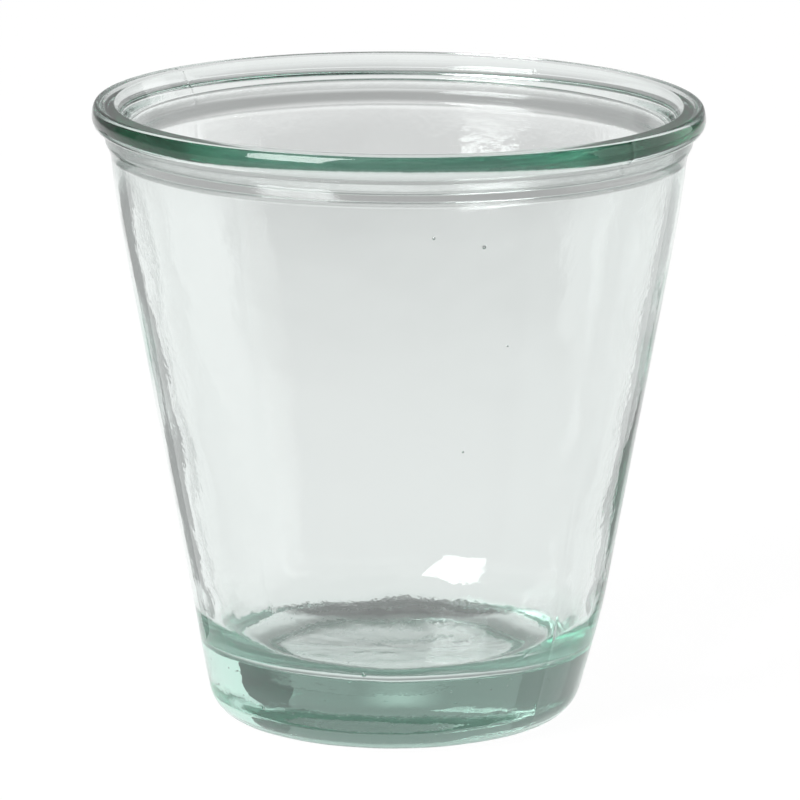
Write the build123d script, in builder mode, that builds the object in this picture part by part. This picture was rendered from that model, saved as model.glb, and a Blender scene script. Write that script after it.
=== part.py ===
"""Pressed drinking glass: a tapered tumbler with a thick base and a flat-topped rim bead.

The glass is one casting.  It is modelled as its four zones, from the table up: base, wall, neck ring and
rim bead.  Each zone is revolved about Z, and neighbours meet face to face on a flat level plane.
Millimetres, +Z up, origin on the table under the middle of the glass.
"""

from build123d import *

import os

# Overall size
GLASS_HEIGHT = 90.5
RIM_DIAMETER = 89.0

# Rim bead, outside: the round lip, which stands out past the neck ring
BEAD_HEIGHT = 3.9
BEAD_OVERHANG = 1.85
LIP_HEIGHT = 1.9
LIP_INSET = 0.8

# Rim bead, top and inside: a land that falls a little inwards, and the bevel from it down to the mouth
LAND_WIDTH = 2.55
LAND_DROP = 0.5
LAND_EDGE_RADIUS = 0.8
MOUTH_BEVEL_DEPTH = 2.2
MOUTH_BEVEL_HEIGHT = 2.7
MOUTH_EDGE_RADIUS = 0.4

# Neck ring: the upright band under the bead, and the slope from it in to the wall
NECK_BAND_HEIGHT = 1.6
NECK_SLOPE_HEIGHT = 1.5
NECK_SLOPE_DEPTH = 0.85
NECK_EDGE_RADIUS = 1.5

# Wall: straight and tapered, curving more upright over its top stretch, and thicker towards the base
SHOULDER_HEIGHT = 11.0
SHOULDER_INSET = 1.45
WALL_AT_NECK = 2.5
WALL_AT_BASE = 2.8

# Base, outside: its sides carry on from the wall and curve in, down to a rounded heel
BASE_HEIGHT = 21.0
BASE_TOP_DIAMETER = 61.9
FOOT_DIAMETER = 52.6
HEEL_RADIUS = 5.0

# Base, underside: a shallow flat recess inside the ring that the glass stands on
HOLLOW_DIAMETER = 38.2
HOLLOW_SLOPE = 1.3
HOLLOW_DEPTH = 1.2

# Base, inside: the side bends in gently above the floor, then turns to it in a tighter corner
FLOOR_THICKNESS = 10.7
FLOOR_CORNER_RADIUS = 3.4
BOWL_BEND_HEIGHT = 3.9
BOWL_BEND_DEPTH = 3.05
BOWL_BEND_RADIUS = 9.5

# Levels, from the top down
land_level = GLASS_HEIGHT - LAND_DROP
bead_middle = GLASS_HEIGHT - LIP_HEIGHT
mouth_level = land_level - MOUTH_BEVEL_HEIGHT
bead_bottom = GLASS_HEIGHT - BEAD_HEIGHT
neck_band_bottom = bead_bottom - NECK_BAND_HEIGHT
wall_top = neck_band_bottom - NECK_SLOPE_HEIGHT
shoulder_level = wall_top - SHOULDER_HEIGHT

# Radii, outside
rim_radius = RIM_DIAMETER / 2
lip_top_radius = rim_radius - LIP_INSET
neck_radius = rim_radius - BEAD_OVERHANG
wall_top_outside = neck_radius - NECK_SLOPE_DEPTH
shoulder_outside = wall_top_outside - SHOULDER_INSET
base_top_outside = BASE_TOP_DIAMETER / 2
foot_radius = FOOT_DIAMETER / 2
hollow_radius = HOLLOW_DIAMETER / 2
wall_lean = (shoulder_outside - base_top_outside) / (shoulder_level - BASE_HEIGHT)

# Radii, inside: the wall's inside runs beside its outside, and so does the base's, down to the floor
land_radius = lip_top_radius - LAND_WIDTH
mouth_radius = land_radius - MOUTH_BEVEL_DEPTH
wall_top_inside = wall_top_outside - WALL_AT_NECK
shoulder_inside = shoulder_outside - WALL_AT_NECK
base_top_inside = base_top_outside - WALL_AT_BASE
base_lean = (base_top_outside - foot_radius) / BASE_HEIGHT
bend_level = FLOOR_THICKNESS + BOWL_BEND_HEIGHT
bend_radius = foot_radius + base_lean * bend_level - WALL_AT_BASE
floor_corner = bend_radius - BOWL_BEND_DEPTH

# Base: a bowl with a thick floor
with BuildPart() as base:
    with BuildSketch(Plane.XZ) as base_section:
        with BuildLine():
            side = TangentArc((base_top_outside, BASE_HEIGHT), (foot_radius, 0), tangent=(-wall_lean, -1))
            Polyline(
                side @ 1,
                (hollow_radius, 0),
                (hollow_radius - HOLLOW_SLOPE, HOLLOW_DEPTH),
                (0, HOLLOW_DEPTH),
                (0, FLOOR_THICKNESS),
                (floor_corner, FLOOR_THICKNESS),
                (bend_radius, bend_level),
                (base_top_inside, BASE_HEIGHT),
                side @ 0,
            )
        make_face()
        heel = base_section.vertices().sort_by_distance((foot_radius, 0))[0]
        fillet(heel, HEEL_RADIUS)
        corner = base_section.vertices().sort_by_distance((floor_corner, FLOOR_THICKNESS))[0]
        fillet(corner, FLOOR_CORNER_RADIUS)
        bend = base_section.vertices().sort_by_distance((bend_radius, bend_level))[0]
        fillet(bend, BOWL_BEND_RADIUS)
    revolve(axis=Axis.Z)
base.part.label = "base"

# Wall: a tapered tube, curved alike on both sides near its top
with BuildPart() as wall:
    with BuildSketch(Plane.XZ):
        with BuildLine():
            side = Line((base_top_outside, BASE_HEIGHT), (shoulder_outside, shoulder_level))
            shoulder = TangentArc(side @ 1, (wall_top_outside, wall_top), tangent=side % 1)
            inside = Line((base_top_inside, BASE_HEIGHT), (shoulder_inside, shoulder_level))
            inner_shoulder = TangentArc(inside @ 1, (wall_top_inside, wall_top), tangent=inside % 1)
            Line(shoulder @ 1, inner_shoulder @ 1)
            Line(inside @ 0, side @ 0)
        make_face()
    revolve(axis=Axis.Z)
wall.part.label = "wall"

# Neck ring: a short band with a sloped underside
with BuildPart() as neck_ring:
    with BuildSketch(Plane.XZ) as neck_section:
        with BuildLine():
            Polyline(
                (wall_top_outside, wall_top),
                (neck_radius, neck_band_bottom),
                (neck_radius, bead_bottom),
                (mouth_radius, bead_bottom),
                (wall_top_inside, wall_top),
                close=True,
            )
        make_face()
        band_edge = neck_section.vertices().sort_by_distance((neck_radius, neck_band_bottom))[0]
        fillet(band_edge, NECK_EDGE_RADIUS)
    revolve(axis=Axis.Z)
neck_ring.part.label = "neck_ring"

# Rim bead: round on the outside, nearly flat on top and bevelled on the inside
with BuildPart() as rim_bead:
    with BuildSketch(Plane.XZ) as bead_section:
        with BuildLine():
            EllipticalCenterArc(
                (neck_radius, bead_middle),
                BEAD_OVERHANG,
                bead_middle - bead_bottom,
                start_angle=-90,
                arc_size=90,
            )
            EllipticalCenterArc(
                (lip_top_radius, bead_middle),
                LIP_INSET,
                LIP_HEIGHT,
                start_angle=0,
                arc_size=90,
            )
            Polyline(
                (lip_top_radius, GLASS_HEIGHT),
                (land_radius, land_level),
                (mouth_radius, mouth_level),
                (mouth_radius, bead_bottom),
                (neck_radius, bead_bottom),
            )
        make_face()
        land_edge = bead_section.vertices().sort_by_distance((land_radius, land_level))[0]
        fillet(land_edge, LAND_EDGE_RADIUS)
        mouth_edge = bead_section.vertices().sort_by_distance((mouth_radius, mouth_level))[0]
        fillet(mouth_edge, MOUTH_EDGE_RADIUS)
    revolve(axis=Axis.Z)
rim_bead.part.label = "rim_bead"

os.makedirs("parts", exist_ok=True)
for zone in (base, wall, neck_ring, rim_bead):
    export_step(zone.part, f"parts/{zone.part.label}.step")
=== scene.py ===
"""Looks of a pressed drinking glass: one closed mesh of wavy pale green glass on a white studio floor.

The glass is a lathe of the model's profile.  Slow waves are pressed into its surfaces, the rim leans a
little, two mould seams run up its outside, and bubbles sit in it: a few large ones, and fine ones in the
thick base.
Lengths are in metres, +Z up, and the camera looks along +Y.
"""

import math

import bpy
import numpy as np
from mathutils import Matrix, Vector, noise


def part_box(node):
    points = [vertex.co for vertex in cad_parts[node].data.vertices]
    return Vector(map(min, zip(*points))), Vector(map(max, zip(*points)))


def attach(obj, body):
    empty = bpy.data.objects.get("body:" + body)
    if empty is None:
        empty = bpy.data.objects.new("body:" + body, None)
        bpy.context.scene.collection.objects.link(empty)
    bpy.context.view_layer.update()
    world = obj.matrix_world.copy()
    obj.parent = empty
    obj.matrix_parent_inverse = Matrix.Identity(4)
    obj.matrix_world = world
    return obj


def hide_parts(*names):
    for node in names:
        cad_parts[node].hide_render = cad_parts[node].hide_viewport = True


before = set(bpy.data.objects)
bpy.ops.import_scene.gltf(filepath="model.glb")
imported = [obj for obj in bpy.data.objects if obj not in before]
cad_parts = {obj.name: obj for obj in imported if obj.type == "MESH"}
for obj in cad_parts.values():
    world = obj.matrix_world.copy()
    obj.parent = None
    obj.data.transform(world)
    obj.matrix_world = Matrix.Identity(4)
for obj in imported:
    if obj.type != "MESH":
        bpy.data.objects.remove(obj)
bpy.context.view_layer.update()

MM = 0.001

# Sizes of the glass that the model's four zones give
base_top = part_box("base")[1].z
base_top_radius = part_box("base")[1].x
wall_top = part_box("wall")[1].z
wall_top_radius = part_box("wall")[1].x
bead_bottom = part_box("rim_bead")[0].z
neck_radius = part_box("neck_ring")[1].x
rim_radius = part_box("rim_bead")[1].x
rim_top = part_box("rim_bead")[1].z

# Sizes inside the profile, the same as the model's
FOOT_RADIUS = 26.3 * MM
HEEL_RADIUS = 5.0 * MM
HOLLOW_RADIUS = 19.1 * MM
HOLLOW_SLOPE = 1.3 * MM
HOLLOW_DEPTH = 1.2 * MM
SHOULDER_HEIGHT = 11.0 * MM
SHOULDER_INSET = 1.45 * MM
NECK_BAND_HEIGHT = 1.6 * MM
LIP_INSET = 0.8 * MM
LIP_HEIGHT = 1.9 * MM
LAND_WIDTH = 2.55 * MM
MOUTH_BEVEL_DEPTH = 2.2 * MM
MOUTH_EDGE_RADIUS = 0.4 * MM
WALL_AT_NECK = 2.5 * MM
WALL_AT_BASE = 2.8 * MM
FLOOR_LEVEL = 10.7 * MM
FLOOR_CORNER_RADIUS = 3.4 * MM
BOWL_BEND_HEIGHT = 3.9 * MM
BOWL_BEND_DEPTH = 3.05 * MM
BOWL_BEND_RADIUS = 9.5 * MM

# Sizes at the neck and the rim that are only the look's: they differ from the model's by a little
NECK_EDGE_RADIUS = 1.9 * MM
NECK_FOOT_RADIUS = 4.5 * MM
LAND_DROP = 0.05 * MM
LAND_EDGE_RADIUS = 0.4 * MM
MOUTH_BEVEL_HEIGHT = 3.2 * MM

# Waves of the pressed glass: each pair is a wavelength and a height.  The inside is wavier than the outside.
INSIDE_WAVES = ((24.0 * MM, 0.30 * MM), (9.0 * MM, 0.07 * MM), (3.5 * MM, 0.022 * MM))
OUTSIDE_WAVES = ((40.0 * MM, 0.10 * MM), (8.0 * MM, 0.018 * MM), (3.0 * MM, 0.006 * MM))
BASE_WAVES = ((7.0 * MM, 0.05 * MM), (2.5 * MM, 0.014 * MM))
UNDERSIDE_WAVES = ((6.0 * MM, 0.14 * MM), (2.2 * MM, 0.09 * MM))
UNDERSIDE_TOP = 2.0 * MM
WAVE_FADE = 6.0 * MM
NECK_FADE = 16.0 * MM
WAVE_ORIGIN = Vector((7.3, 2.1, 4.7))

# The rim is not quite level: its fall per metre to the right and to the back, fading out down the wall
RIM_FALL = (0.0075, 0.0070)
RIM_FALL_FROM = 45.0 * MM

# The foot sits a little left of the axis, and the base leans to it
FOOT_SHIFT = -0.7 * MM
FOOT_SHIFT_TOP = 19.0 * MM

# Mould seams: fine upright ridges at front right and back left, measured round from +X.  The mesh has points
# at the sample angles beside each seam, and its other points keep clear of them.
SEAM_ANGLES = (math.radians(-42.0), math.radians(138.0))
SEAM_HEIGHT = 0.06 * MM
SEAM_ON_WALL = 0.15
SEAM_WIDTH = 0.35 * MM
SEAM_SAMPLES = (-0.018, -0.012, -0.008, -0.004, 0.0, 0.004, 0.008, 0.012, 0.018)
SEAM_CLEARANCE = 0.026

# Bubbles in the glass: distance from the axis, direction round from +X in degrees, height and radius
BUBBLES = (
    (27.4 * MM, -135.0, 5.2 * MM, 0.35 * MM),
    (28.4 * MM, -100.0, 12.4 * MM, 0.32 * MM),
    (39.6 * MM, -83.0, 78.6 * MM, 0.22 * MM),
    (39.3 * MM, -72.6, 77.0 * MM, 0.28 * MM),
    (37.2 * MM, -66.0, 62.0 * MM, 0.14 * MM),
    (34.6 * MM, -75.0, 46.5 * MM, 0.16 * MM),
)

# Seeds: fine bubbles strewn round the thick base, each turned on from the last by the golden angle.  Their
# distances from the axis, heights and radii swing between two ends, each at a pace of its own.
SEED_COUNT = 90
SEED_TURN = math.radians(137.5)
SEED_FROM_AXIS = (18.0 * MM, 23.5 * MM)
SEED_HEIGHT = (4.0 * MM, 9.0 * MM)
SEED_RADIUS = (0.06 * MM, 0.13 * MM)
SEED_PACES = (1.7, 2.9, 4.3)
BUBBLE_TURNS = 10
BUBBLE_RINGS = 6

# How fine the mesh is: steps along straights, points along curves, and turns round the axis
STRAIGHT_STEP = 0.9 * MM
NECK_STEP = 0.5 * MM
FINE_STEP = 0.25 * MM
BASE_SIDE_POINTS = 40
SHOULDER_POINTS = 20
SHOULDER_END_POINTS = 4
INNER_SHOULDER_POINTS = 10
NECK_FOOT_POINTS = 10
ROUND_POINTS = 14
FLOOR_CORNER_POINTS = 12
EDGE_POINTS = 8
TURNS = 232

# Corners of the profile, each a distance from the axis and a height.  First the outside, going up.
hollow_edge = (HOLLOW_RADIUS - HOLLOW_SLOPE, HOLLOW_DEPTH)
hollow_foot = (HOLLOW_RADIUS, 0.0)
foot = (FOOT_RADIUS, 0.0)
base_edge = (base_top_radius, base_top)
shoulder = (wall_top_radius - SHOULDER_INSET, wall_top - SHOULDER_HEIGHT)
wall_edge = (wall_top_radius, wall_top)
band_bottom = (neck_radius, bead_bottom - NECK_BAND_HEIGHT)
band_top = (neck_radius, bead_bottom)
bead_middle = rim_top - LIP_HEIGHT
lip_top = (rim_radius - LIP_INSET, rim_top)

# Then the inside, going down
land_edge = (lip_top[0] - LAND_WIDTH, rim_top - LAND_DROP)
mouth = (land_edge[0] - MOUTH_BEVEL_DEPTH, land_edge[1] - MOUTH_BEVEL_HEIGHT)
neck_inside = (mouth[0], bead_bottom)
wall_inside = (wall_top_radius - WALL_AT_NECK, wall_top)
shoulder_inside = (shoulder[0] - WALL_AT_NECK, shoulder[1])
base_inside = (base_top_radius - WALL_AT_BASE, base_top)
base_lean = (base_top_radius - FOOT_RADIUS) / base_top
bend_level = FLOOR_LEVEL + BOWL_BEND_HEIGHT
bend = (FOOT_RADIUS + base_lean * bend_level - WALL_AT_BASE, bend_level)
floor_edge = (bend[0] - BOWL_BEND_DEPTH, FLOOR_LEVEL)
floor_middle = (0.0, FLOOR_LEVEL)


def line(start, end, spacing):
    """Points from start up to, but not at, end."""
    start, end = np.array(start), np.array(end)
    count = max(2, round(np.linalg.norm(end - start) / spacing))
    return [start + (end - start) * i / count for i in range(count)]


def tangent_arc(start, end, direction, count):
    """Points along the arc that leaves start in a direction and ends at end, without the end."""
    start, end, direction = np.array(start), np.array(end), np.array(direction)
    direction = direction / np.linalg.norm(direction)
    chord = end - start
    normal = np.array((-direction[1], direction[0]))
    radius = chord.dot(chord) / (2 * chord.dot(normal))
    centre = start + radius * normal
    turn = 2 * math.atan2(chord.dot(normal), chord.dot(direction))
    arm = start - centre
    across = np.array((-arm[1], arm[0]))
    angles = [turn * i / count for i in range(count)]
    return [centre + arm * math.cos(a) + across * math.sin(a) for a in angles]


def quarter_ellipse(centre, width, height, from_deg, count):
    """Points along a quarter of an ellipse, counter-clockwise, without the last."""
    angles = [math.radians(from_deg + 90 * i / count) for i in range(count)]
    return [np.array((centre[0] + width * math.cos(a), centre[1] + height * math.sin(a))) for a in angles]


def corner(before, point, after, radius, count):
    """Points round a corner between two straights, without the last, and that last point."""
    before, point, after = np.array(before), np.array(point), np.array(after)
    first = (point - before) / np.linalg.norm(point - before)
    second = (after - point) / np.linalg.norm(after - point)
    turn = math.acos(np.clip(first.dot(second), -1, 1))
    reach = radius * math.tan(turn / 2)
    end = point + second * reach
    return tangent_arc(point - first * reach, end, first, count), end


def outside_profile():
    """The outline of half the section, from the underside's middle up the outside, without the lip's top."""
    points = line((0.0, HOLLOW_DEPTH), hollow_edge, STRAIGHT_STEP)
    points += line(hollow_edge, hollow_foot, FINE_STEP)

    # The base: its side is an arc, which the heel's curve runs into
    side = tangent_arc(base_edge, foot, np.subtract(base_edge, shoulder), BASE_SIDE_POINTS)
    above_heel = next(point for point in side if point[1] < HEEL_RADIUS)
    heel, heel_end = corner(hollow_foot, foot, above_heel, HEEL_RADIUS, ROUND_POINTS)
    points += line(hollow_foot, heel[0], STRAIGHT_STEP) + heel + [heel_end]
    points += [point for point in reversed(side[1:]) if point[1] > heel_end[1] + FINE_STEP]

    # The wall, and the neck: its foot is rounded as if the last stretch of the wall were straight
    points += line(base_edge, shoulder, STRAIGHT_STEP)
    curve = tangent_arc(shoulder, wall_edge, np.subtract(shoulder, base_edge), SHOULDER_POINTS)
    last_stretch = curve[-SHOULDER_END_POINTS]
    neck_foot, slope_start = corner(last_stretch, wall_edge, band_bottom, NECK_FOOT_RADIUS, NECK_FOOT_POINTS)
    points += [point for point in curve if point[1] < neck_foot[0][1] - FINE_STEP] + neck_foot
    neck_edge, band_start = corner(slope_start, band_bottom, band_top, NECK_EDGE_RADIUS, EDGE_POINTS)
    points += line(slope_start, neck_edge[0], FINE_STEP) + neck_edge
    points += line(band_start, band_top, FINE_STEP)

    # The bead
    overhang, under = rim_radius - neck_radius, bead_middle - bead_bottom
    points += quarter_ellipse((neck_radius, bead_middle), overhang, under, -90, ROUND_POINTS)
    points += quarter_ellipse((lip_top[0], bead_middle), LIP_INSET, LIP_HEIGHT, 0, ROUND_POINTS)
    return points


def inside_profile():
    """The outline of half the section, from the lip's top down the inside to the floor's middle."""
    land, bevel_start = corner(lip_top, land_edge, mouth, LAND_EDGE_RADIUS, EDGE_POINTS)
    points = line(lip_top, land[0], FINE_STEP) + land
    mouth_turn, mouth_start = corner(bevel_start, mouth, neck_inside, MOUTH_EDGE_RADIUS, EDGE_POINTS)
    points += line(bevel_start, mouth_turn[0], FINE_STEP) + mouth_turn
    points += line(mouth_start, neck_inside, FINE_STEP)
    points += line(neck_inside, wall_inside, NECK_STEP) + [np.array(wall_inside)]
    upwards = np.subtract(shoulder_inside, base_inside)
    curve = tangent_arc(shoulder_inside, wall_inside, upwards, INNER_SHOULDER_POINTS)
    points += reversed(curve[1:])
    points += line(shoulder_inside, base_inside, STRAIGHT_STEP)
    turn, turn_end = corner(base_inside, bend, floor_edge, BOWL_BEND_RADIUS, ROUND_POINTS)
    points += line(base_inside, turn[0], STRAIGHT_STEP) + turn
    bowl, bowl_end = corner(turn_end, floor_edge, floor_middle, FLOOR_CORNER_RADIUS, FLOOR_CORNER_POINTS)
    points += line(turn_end, bowl[0], FINE_STEP) + bowl
    points += line(bowl_end, floor_middle, STRAIGHT_STEP) + [np.array(floor_middle)]
    return points


def waves(point, pairs):
    """The height of the waves at a place on the glass."""
    place = Vector(point)
    return sum(height * noise.noise(place / length + WAVE_ORIGIN) for length, height in pairs)


def smooth_share(value, start, end):
    """0 before start, 1 after end, and a smooth rise between them."""
    share = min(1.0, max(0.0, (value - start) / (end - start)))
    return share * share * (3 - 2 * share)


def sheet_angles():
    """The directions round the axis that the mesh has points in, closer together at the seams."""
    angles = list(np.linspace(-math.pi, math.pi, TURNS, endpoint=False))
    for seam in SEAM_ANGLES:
        angles = [a for a in angles if abs(a - seam) > SEAM_CLEARANCE]
        angles += [seam + offset for offset in SEAM_SAMPLES]
    return sorted(angles)


def foot_shift(height):
    """How far to the right the glass is moved at a height."""
    return FOOT_SHIFT * (1 - smooth_share(height, 0, FOOT_SHIFT_TOP))


def outside_move(point, radius, angle):
    """How far a point of the outside is pushed out by the waves and the seams."""
    height = point[2]
    above_foot = smooth_share(height, 0, WAVE_FADE)
    above_base = smooth_share(height, base_top - WAVE_FADE, base_top)
    if height < UNDERSIDE_TOP and radius < HOLLOW_RADIUS:
        move = waves(point, UNDERSIDE_WAVES)
    elif height <= 0:
        move = 0.0
    else:
        move = waves(point, OUTSIDE_WAVES) * above_foot + waves(point, BASE_WAVES) * (1 - above_base)
    rise = above_foot * (1 - (1 - SEAM_ON_WALL) * above_base)
    rise = max(rise, smooth_share(height, wall_top, bead_bottom))
    for seam in SEAM_ANGLES:
        away = (angle - seam) * radius / SEAM_WIDTH
        move += SEAM_HEIGHT * rise * math.exp(-away * away)
    return move


def inside_move(point):
    """How far a point of the inside is pushed out by the waves, which fade towards the bead."""
    return waves(point, INSIDE_WAVES) * (1 - smooth_share(point[2], bead_bottom - NECK_FADE, bead_bottom))


def wavy_point(radius, height, angle, normal, outside):
    """A point of the lathe, moved by the waves, the seams, the fall of the rim and the shift of the foot."""
    point = (radius * math.cos(angle), radius * math.sin(angle), height)
    move = outside_move(point, radius, angle) if outside else inside_move(point)
    radius += move * normal[0]
    height += move * normal[1]
    x, y = radius * math.cos(angle), radius * math.sin(angle)
    fall = (RIM_FALL[0] * x + RIM_FALL[1] * y) * smooth_share(height, RIM_FALL_FROM, rim_top)
    return (x + foot_shift(height), y, height - fall)


def lathe_faces(first, rings, turns):
    """Faces of a closed lathe: its points, from the first on, are a pole, rings of points and a pole."""
    faces = []
    last = first + 1 + (rings - 1) * turns
    for j in range(turns):
        k = (j + 1) % turns
        faces.append((first, first + 1 + k, first + 1 + j))
        for ring in range(rings - 1):
            low, high = first + 1 + ring * turns, first + 1 + (ring + 1) * turns
            faces.append((low + j, low + k, high + k, high + j))
        faces.append((last + j, last + k, last + turns))
    return faces


def bubble_points(from_axis, angle, height, radius):
    """Points of a small sphere, from its top down, so that its faces look inwards, away from the glass."""
    middle = Vector((from_axis * math.cos(angle), from_axis * math.sin(angle), height))
    points = [middle + Vector((0, 0, radius))]
    for ring in range(1, BUBBLE_RINGS + 1):
        polar = math.pi * ring / (BUBBLE_RINGS + 1)
        for turn in range(BUBBLE_TURNS):
            around = 2 * math.pi * turn / BUBBLE_TURNS
            side = Vector((math.cos(around), math.sin(around), 0)) * math.sin(polar)
            points.append(middle + (side + Vector((0, 0, math.cos(polar)))) * radius)
    points.append(middle - Vector((0, 0, radius)))
    return points


def all_bubbles():
    """Each bubble's distance from the axis, angle, height and radius: the large ones, then the seeds."""
    bubbles = [(away, math.radians(turn), height, radius) for away, turn, height, radius in BUBBLES]
    spans = (SEED_FROM_AXIS, SEED_HEIGHT, SEED_RADIUS)
    for i in range(SEED_COUNT):
        shares = [0.5 + 0.5 * math.sin(i * pace) for pace in SEED_PACES]
        away, height, radius = [low + (high - low) * share for (low, high), share in zip(spans, shares)]
        bubbles.append((away, i * SEED_TURN, height, radius))
    return bubbles


def glass_mesh():
    """The glass as one closed mesh, with its bubbles."""
    outside = outside_profile()
    profile = np.array(outside + inside_profile())
    along = np.gradient(profile, axis=0)
    normals = np.column_stack((along[:, 1], -along[:, 0]))
    normals /= np.linalg.norm(normals, axis=1)[:, None]
    angles = sheet_angles()
    vertices = [(FOOT_SHIFT, 0, profile[0][1])]
    for i, (radius, height) in enumerate(profile[1:-1], 1):
        vertices += [wavy_point(radius, height, a, normals[i], i < len(outside)) for a in angles]
    vertices.append((foot_shift(profile[-1][1]), 0, profile[-1][1]))
    faces = lathe_faces(0, len(profile) - 2, len(angles))
    for bubble in all_bubbles():
        faces += lathe_faces(len(vertices), BUBBLE_RINGS, BUBBLE_TURNS)
        vertices += bubble_points(*bubble)
    mesh = bpy.data.meshes.new("glass")
    mesh.from_pydata(vertices, [], faces)
    mesh.polygons.foreach_set("use_smooth", [True] * len(mesh.polygons))
    return mesh


glass = bpy.data.objects.new("glass", glass_mesh())
bpy.context.collection.objects.link(glass)
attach(glass, "root")
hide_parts("base", "wall", "neck_ring", "rim_bead")

# Glass: the share of light that its surface passes, and the green that it gains with depth
SURFACE_TINT = (0.926, 0.931, 0.929, 1)
REFRACTIVE_INDEX = 1.52
DEPTH_TINT = (0.15, 0.586, 0.443, 1)
DEPTH_TINT_DENSITY = 16.5

# Smears: patches of a noise that make the surface a little rough where the noise is strong
SMEAR_SCALE = 120.0
SMEAR_DETAIL = 3.0
SMEAR_NOISE = (0.45, 0.80)
SMEAR_ROUGHNESS = 0.04

# How rough the glass is at each height: frosted under the foot, clear up the wall, hazy round the neck
HAZE = ((0.0, 0.32), (1.3 * MM, 0.32), (1.6 * MM, 0.0), (76.0 * MM, 0.0), (82.5 * MM, 0.10),
        (86.4 * MM, 0.10), (87.0 * MM, 0.04), (90.5 * MM, 0.04))

# Grain: a faint fine unevenness all over the surface
GRAIN_SCALE = 900.0
GRAIN_DETAIL = 2.0
GRAIN_STRENGTH = 0.5
GRAIN_DEPTH = 0.02 * MM


def math_node(tree, operation, first, second=0.0):
    """The result of a sum in a node tree; each term is a number or another node's output."""
    node = tree.nodes.new("ShaderNodeMath")
    node.operation = operation
    for socket, term in zip(node.inputs, (first, second)):
        if isinstance(term, float):
            socket.default_value = term
        else:
            tree.links.new(term, socket)
    return node.outputs["Value"]


def axes(tree, vector):
    """The X, Y and Z of a vector in a node tree."""
    node = tree.nodes.new("ShaderNodeSeparateXYZ")
    tree.links.new(vector, node.inputs["Vector"])
    return [node.outputs[axis] for axis in "XYZ"]


def map_range(tree, value, span, ends=(0.0, 1.0), smooth=False):
    """A value that runs over a span, mapped to run between two ends and held there past the span."""
    node = tree.nodes.new("ShaderNodeMapRange")
    if smooth:
        node.interpolation_type = "SMOOTHSTEP"
    for name, number in zip(("From Min", "From Max", "To Min", "To Max"), span + ends):
        node.inputs[name].default_value = number
    tree.links.new(value, node.inputs["Value"])
    return node.outputs["Result"]


def value_ramp(tree, distance, pairs):
    """A ramp that turns a distance into the value that the pairs give."""
    furthest = pairs[-1][0]
    ramp = tree.nodes.new("ShaderNodeValToRGB")
    stops = ramp.color_ramp.elements
    stops[0].position = pairs[0][0] / furthest
    stops[1].position = 1.0
    for place, _ in pairs[1:-1]:
        stops.new(place / furthest)
    for stop, (_, level) in zip(stops, pairs):
        stop.color = (level, level, level, 1)
    tree.links.new(math_node(tree, "DIVIDE", distance, furthest), ramp.inputs["Fac"])
    return ramp.outputs["Color"]


def noise_texture(tree, place, scale, detail):
    """A noise over the glass."""
    node = tree.nodes.new("ShaderNodeTexNoise")
    node.inputs["Scale"].default_value = scale
    node.inputs["Detail"].default_value = detail
    tree.links.new(place, node.inputs["Vector"])
    return node.outputs["Fac"]


def glass_material():
    """Pale green glass, greener where it is thick, with smears, haze and a faint grain on its surface."""
    material = bpy.data.materials.new("green_glass")
    material.use_nodes = True
    tree = material.node_tree
    shader = tree.nodes["Principled BSDF"]
    shader.inputs["Base Color"].default_value = SURFACE_TINT
    shader.inputs["IOR"].default_value = REFRACTIVE_INDEX
    shader.inputs["Transmission Weight"].default_value = 1.0
    place = tree.nodes.new("ShaderNodeTexCoord").outputs["Object"]

    smear = noise_texture(tree, place, SMEAR_SCALE, SMEAR_DETAIL)
    smear = map_range(tree, smear, SMEAR_NOISE, (0.0, SMEAR_ROUGHNESS))
    haze = value_ramp(tree, axes(tree, place)[2], HAZE)
    tree.links.new(math_node(tree, "ADD", smear, haze), shader.inputs["Roughness"])

    bump = tree.nodes.new("ShaderNodeBump")
    bump.inputs["Strength"].default_value = GRAIN_STRENGTH
    bump.inputs["Distance"].default_value = GRAIN_DEPTH
    tree.links.new(noise_texture(tree, place, GRAIN_SCALE, GRAIN_DETAIL), bump.inputs["Height"])
    tree.links.new(bump.outputs["Normal"], shader.inputs["Normal"])

    tint = tree.nodes.new("ShaderNodeVolumeAbsorption")
    tint.inputs["Color"].default_value = DEPTH_TINT
    tint.inputs["Density"].default_value = DEPTH_TINT_DENSITY
    tree.links.new(tint.outputs["Volume"], tree.nodes["Material Output"].inputs["Volume"])
    return material


glass.data.materials.append(glass_material())

# Studio floor: white, with a paint under the white that takes the glass's own shadow
FLOOR_DROP = 0.2 * MM
FLOOR_SIZE = 6.0
FLOOR_GLOW = 0.975
FLOOR_PAINT = 0.04

# The floor's gloss, where it is seen at a grazing angle: 0 is straight down on it, and 1 is level with it
GLOSS_ROUGHNESS = 0.15
GLOSS_GRAZING = (0.85, 0.97)
GLOSS_MOST = 0.8

# Soft shadows painted on the floor: each pair is a distance and the brightness there.  One is a strip behind
# the glass that widens and deepens with distance, one lies under the foot, and one is an oval patch behind
# the heel, with its distances in shares of its size.  Far behind the glass, the floor itself darkens.
STRIP_START = 0.027
STRIP_SPREAD = 0.0755
STRIP_EDGE = (1.0, 0.85)
STRIP_SHADOW = ((0.12, 1.0), (0.20, 0.97), (0.30, 0.88), (0.38, 0.79), (0.46, 0.76), (0.53, 1.0))
FAR_SHADOW = ((0.62, 1.0), (0.75, 0.70), (1.10, 0.45))
FOOT_SHADOW = ((0.0175, 1.0), (0.0195, 0.40), (0.0220, 0.45), (0.0245, 1.0))
HEEL_SHADOW = ((0.0, 0.05), (0.7, 0.12), (1.0, 1.0))
HEEL_SHADOW_BEHIND = 0.0245
HEEL_SHADOW_SIZE = (0.022, 0.0060)


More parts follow.
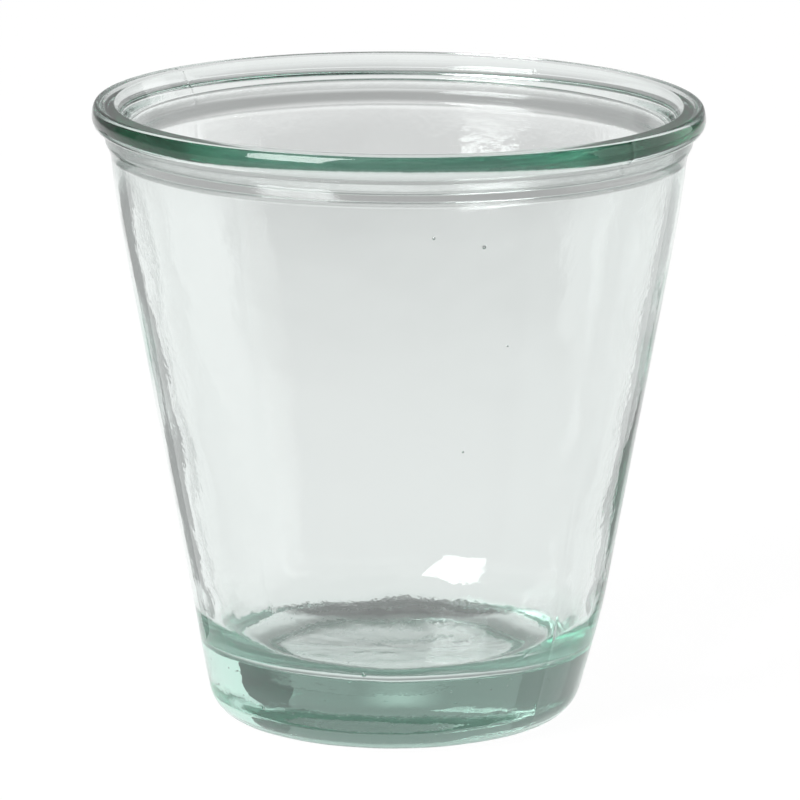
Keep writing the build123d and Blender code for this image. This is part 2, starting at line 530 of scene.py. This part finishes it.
def emission(name):
    """A new material whose surface is one emission shader, and that shader."""
    material = bpy.data.materials.new(name)
    material.use_nodes = True
    nodes, links = material.node_tree.nodes, material.node_tree.links
    nodes.remove(nodes["Principled BSDF"])
    shader = nodes.new("ShaderNodeEmission")
    links.new(shader.outputs["Emission"], nodes["Material Output"].inputs["Surface"])
    return material, shader


def from_origin(tree, x, y):
    """The distance of a place from the origin, in a node tree."""
    squares = [math_node(tree, "POWER", part, 2.0) for part in (x, y)]
    return math_node(tree, "SQRT", math_node(tree, "ADD", *squares))


def floor_shadow(tree):
    """How bright the floor's white is at each place: 1 in the open, less in the painted shadows."""
    place = tree.nodes.new("ShaderNodeNewGeometry")
    x, y, _ = axes(tree, place.outputs["Position"])

    width = math_node(tree, "ADD", math_node(tree, "MULTIPLY", y, STRIP_SPREAD), STRIP_START)
    across = math_node(tree, "DIVIDE", math_node(tree, "ABSOLUTE", x), width)
    strip = map_range(tree, across, STRIP_EDGE, smooth=True)
    depth = math_node(tree, "SUBTRACT", 1.0, value_ramp(tree, y, STRIP_SHADOW))
    behind = math_node(tree, "SUBTRACT", 1.0, math_node(tree, "MULTIPLY", depth, strip))

    under_foot = value_ramp(tree, from_origin(tree, x, y), FOOT_SHADOW)

    side = math_node(tree, "DIVIDE", x, HEEL_SHADOW_SIZE[0])
    back = math_node(tree, "SUBTRACT", y, HEEL_SHADOW_BEHIND)
    back = math_node(tree, "DIVIDE", back, HEEL_SHADOW_SIZE[1])
    heel = value_ramp(tree, from_origin(tree, side, back), HEEL_SHADOW)

    near = math_node(tree, "MULTIPLY", math_node(tree, "MULTIPLY", behind, under_foot), heel)
    return math_node(tree, "MULTIPLY", near, value_ramp(tree, y, FAR_SHADOW))


def mix_shaders(tree, share, first, second):
    """A mix of two shaders: the first where the share is 0, the second where it is 1."""
    node = tree.nodes.new("ShaderNodeMixShader")
    for socket, source in zip(node.inputs, (share, first, second)):
        tree.links.new(source, socket)
    return node.outputs["Shader"]


def floor_material():
    """White to the camera; what the glass shows of it has the painted shadows and the gloss too."""
    material, glow = emission("studio_floor")
    tree = material.node_tree
    path = tree.nodes.new("ShaderNodeLightPath")
    camera_ray = path.outputs["Is Camera Ray"]
    white_share = math_node(tree, "MAXIMUM", floor_shadow(tree), camera_ray)
    tree.links.new(math_node(tree, "MULTIPLY", white_share, FLOOR_GLOW), glow.inputs["Strength"])
    paint = tree.nodes.new("ShaderNodeBsdfDiffuse")
    paint.inputs["Color"].default_value = (FLOOR_PAINT, FLOOR_PAINT, FLOOR_PAINT, 1)
    white = tree.nodes.new("ShaderNodeAddShader")
    tree.links.new(paint.outputs["BSDF"], white.inputs[0])
    tree.links.new(glow.outputs["Emission"], white.inputs[1])

    gloss = tree.nodes.new("ShaderNodeBsdfGlossy")
    gloss.inputs["Roughness"].default_value = GLOSS_ROUGHNESS
    facing = tree.nodes.new("ShaderNodeLayerWeight").outputs["Facing"]
    grazing = map_range(tree, facing, GLOSS_GRAZING, (0.0, GLOSS_MOST))
    gloss_share = math_node(tree, "MULTIPLY", grazing, math_node(tree, "SUBTRACT", 1.0, camera_ray))
    polished = mix_shaders(tree, gloss_share, white.outputs["Shader"], gloss.outputs["BSDF"])

    seen = math_node(tree, "ADD", camera_ray, path.outputs["Is Glossy Ray"])
    seen = math_node(tree, "ADD", seen, path.outputs["Is Transmission Ray"])
    surface = mix_shaders(tree, math_node(tree, "MINIMUM", seen, 1.0), paint.outputs["BSDF"], polished)
    tree.links.new(surface, tree.nodes["Material Output"].inputs["Surface"])
    return material


def stage_sheet(name, corners, material):
    """A flat sheet of the studio with four corners."""
    mesh = bpy.data.meshes.new(name)
    mesh.from_pydata(corners, [], [(0, 1, 2, 3)])
    mesh.materials.append(material)
    sheet = bpy.data.objects.new(name, mesh)
    bpy.context.collection.objects.link(sheet)
    return sheet


def stage_card(name, size, material, location, aim):
    """A flat rectangle of the studio that faces a point."""
    right, top = size[0] / 2, size[1] / 2
    corners = [(-right, -top, 0), (right, -top, 0), (right, top, 0), (-right, top, 0)]
    card = stage_sheet(name, corners, material)
    card.location = location
    card.rotation_euler = (Vector(aim) - Vector(location)).to_track_quat("Z", "Y").to_euler()
    return card


stage_card("floor", (FLOOR_SIZE, FLOOR_SIZE), floor_material(), (0, 0, -FLOOR_DROP), (0, 0, 1))

# Cards round the glass, which face its middle.  Each has an azimuth and an elevation in degrees, a distance,
# a width and height, and a brightness.  The horizon band fades into the backdrop that stands behind it.
GLASS_MIDDLE = Vector((0, 0, 0.045))
BACKDROP_GREY = 0.44
HORIZON_WHITE = 0.84
CARDS = (
    ("backdrop", -12, 20, 1.1, (1.62, 1.00), BACKDROP_GREY),
    ("horizon_band", -1, 3, 1.0, (0.34, 0.22), HORIZON_WHITE),
    ("flag_back_left", -40, 4, 1.0, (0.40, 0.50), 0.33),
    ("reflector_right", 72, 12, 0.9, (1.10, 0.60), 1.3),
    ("fill_left", -90, 10, 1.2, (1.00, 0.60), 0.45),
    ("flag_right", 135, 40, 1.0, (1.10, 1.10), 0.03),
    ("softbox_left", -137, 34, 1.0, (0.54, 0.76), 11.0),
)


def studio_point(azimuth_deg, elevation_deg, distance):
    """A point round the glass: azimuth 0 is behind it as the camera sees it, and 90 is to the right."""
    a, e = math.radians(azimuth_deg), math.radians(elevation_deg)
    direction = Vector((math.sin(a) * math.cos(e), math.cos(a) * math.cos(e), math.sin(e)))
    return direction * distance + GLASS_MIDDLE


def light_card(name, azimuth_deg, elevation_deg, distance, size, strength):
    """A glowing card that only the glass and the floor see."""
    material, shader = emission(name)
    shader.inputs["Strength"].default_value = strength
    place = studio_point(azimuth_deg, elevation_deg, distance)
    card = stage_card(name, size, material, place, GLASS_MIDDLE)
    card.visible_camera = False
    return card


def soft_band(card, bottom, surround):
    """Makes a card's glow fade from its bottom edge to the surround's at its top and sides."""
    tree = card.data.materials[0].node_tree
    place = tree.nodes.new("ShaderNodeTexCoord")
    x, y, _ = axes(tree, place.outputs["Generated"])
    from_middle = math_node(tree, "ABSOLUTE", math_node(tree, "SUBTRACT", x, 0.5))
    low_share = map_range(tree, y, (1.0, 0.0), smooth=True)
    middle_share = map_range(tree, from_middle, (0.5, 0.0), smooth=True)
    share = math_node(tree, "MULTIPLY", low_share, middle_share)
    extra = math_node(tree, "MULTIPLY", share, bottom - surround)
    tree.links.new(math_node(tree, "ADD", extra, surround), tree.nodes["Emission"].inputs["Strength"])


cards = {card[0]: light_card(*card) for card in CARDS}
soft_band(cards["horizon_band"], HORIZON_WHITE, BACKDROP_GREY)

# Painted shade on the floor at both sides of the glass: sheets that glow a dim grey, hidden from the camera
# and casting no shadow, which the glass shows as its dark edges.  Each fans out from the side of the glass
# between two directions, in degrees from straight back.
SHADE_SHEET_LEVEL = 1.0 * MM
SHADE_SHEET_START = 0.036
SHADE_SHEET_REACH = (0.022, 0.330)
SHADE_SHEET_DIRECTIONS = (21.0, 37.0)
SHADE_SHEET_LEFT_GREY = 0.40
SHADE_SHEET_RIGHT_GREY = 0.62


def painted_shade_sheet(name, side, strength):
    """A sheet of painted shade, a dim grey glow that only the glass sees; side is -1 on the left and 1 on
    the right.
    """
    material, shader = emission(name)
    shader.inputs["Strength"].default_value = strength
    corners = []
    for reach, directions in zip(SHADE_SHEET_REACH, (SHADE_SHEET_DIRECTIONS, SHADE_SHEET_DIRECTIONS[::-1])):
        for direction in directions:
            turn = math.radians(direction)
            x = SHADE_SHEET_START + reach * math.sin(turn)
            corners.append((side * x, reach * math.cos(turn), SHADE_SHEET_LEVEL))
    shade_sheet = stage_sheet(name, corners, material)
    shade_sheet.visible_camera = False
    shade_sheet.visible_shadow = False


# The two sheets of painted shade beside the glass, the left one darker than the right
painted_shade_sheet("painted_shade_left", -1, SHADE_SHEET_LEFT_GREY)
painted_shade_sheet("painted_shade_right", 1, SHADE_SHEET_RIGHT_GREY)

# Studio room: grey, a little brighter overhead
ROOM_GREY = 0.20
OVERHEAD_GREY = 0.45


def studio_world():
    """A world whose grey brightens from the horizon to overhead."""
    world = bpy.data.worlds.new("studio")
    world.use_nodes = True
    tree = world.node_tree
    background = tree.nodes["Background"]
    background.inputs["Color"].default_value = (1, 1, 1, 1)
    direction = tree.nodes.new("ShaderNodeTexCoord")
    height = axes(tree, direction.outputs["Generated"])[2]
    grey = map_range(tree, height, (0.0, 1.0), (ROOM_GREY, OVERHEAD_GREY))
    tree.links.new(grey, background.inputs["Strength"])
    return world


# Camera: the photograph's viewing angle
CAMERA_ELEVATION = math.radians(12.87)
CAMERA_DISTANCE = 1.0728
CAMERA_SENSOR = 36.0
CAMERA_LENS = 330.5
ORBIT_CENTRE = Vector((0.00015, 0, 0.0447))
AIM = Vector((0.00015, 0, 0.04633))


def photo_camera():
    """The camera, on its orbit round the glass."""
    camera = bpy.data.objects.new("camera", bpy.data.cameras.new("camera"))
    bpy.context.collection.objects.link(camera)
    away = Vector((0, -math.cos(CAMERA_ELEVATION), math.sin(CAMERA_ELEVATION)))
    camera.location = ORBIT_CENTRE + away * CAMERA_DISTANCE
    camera.rotation_euler = (AIM - camera.location).to_track_quat("-Z", "Y").to_euler()
    camera.data.sensor_width = CAMERA_SENSOR
    camera.data.lens = CAMERA_LENS
    return camera


# Light goes through many surfaces of glass before it is given up
LIGHT_BOUNCES = 64

scene = bpy.context.scene
scene.world = studio_world()
scene.camera = photo_camera()
scene.view_settings.view_transform = "Standard"
scene.cycles.max_bounces = LIGHT_BOUNCES
scene.cycles.transmission_bounces = LIGHT_BOUNCES
scene.cycles.glossy_bounces = LIGHT_BOUNCES
